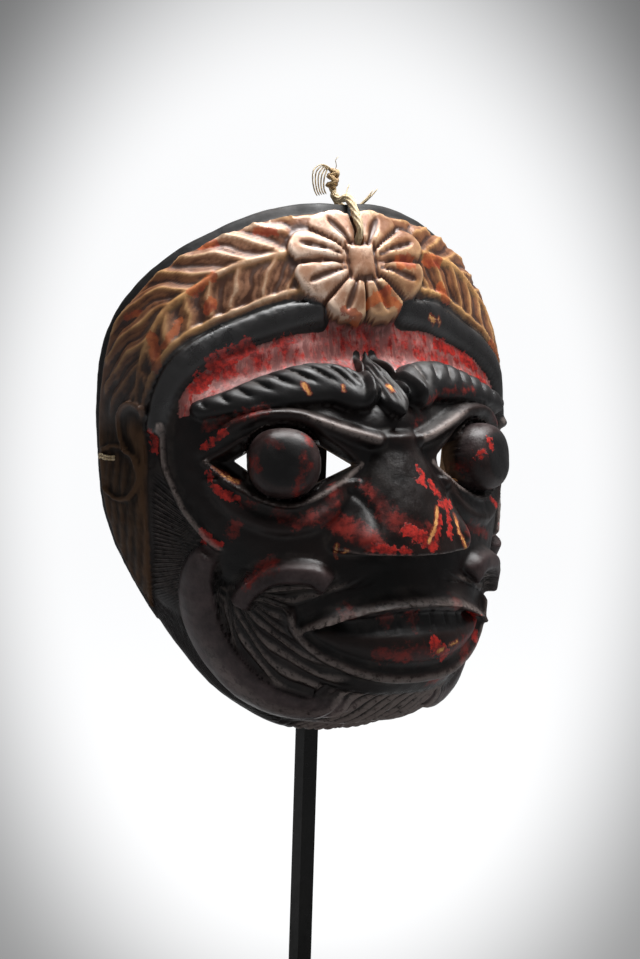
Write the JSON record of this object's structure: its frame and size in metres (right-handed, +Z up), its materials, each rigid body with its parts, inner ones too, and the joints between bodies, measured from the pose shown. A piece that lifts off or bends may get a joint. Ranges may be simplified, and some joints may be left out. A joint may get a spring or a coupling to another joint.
{
  "type": "carved wooden face mask on a stand",
  "caption": "Carved and painted wooden face mask with knob eyes, sight slits and a leafy headband, worn with age, on a black steel rod and foot.",
  "frame": {"origin": "centre of the underside of the stand's foot, on the rod's axis", "axes": "+Z up along the rod, the face looks along -Y, +X is the viewer's right when facing the mask"},
  "size_m": [0.1842, 0.1451, 0.3578],
  "materials": {
    "painted_wood": "satin",
    "black_steel": "matte",
    "felt": "matte",
    "straw": "satin"
  },
  "bodies": {
    "root": {"mask": "painted_wood", "stand_foot": "black_steel", "stand_rod": "black_steel", "pad_upper": "felt", "pad_lower": "felt", "tie_strand": "straw", "tie_knot": "straw", "side_tie_left": "straw", "side_tie_right": "straw"}
  },
  "joints": []
}
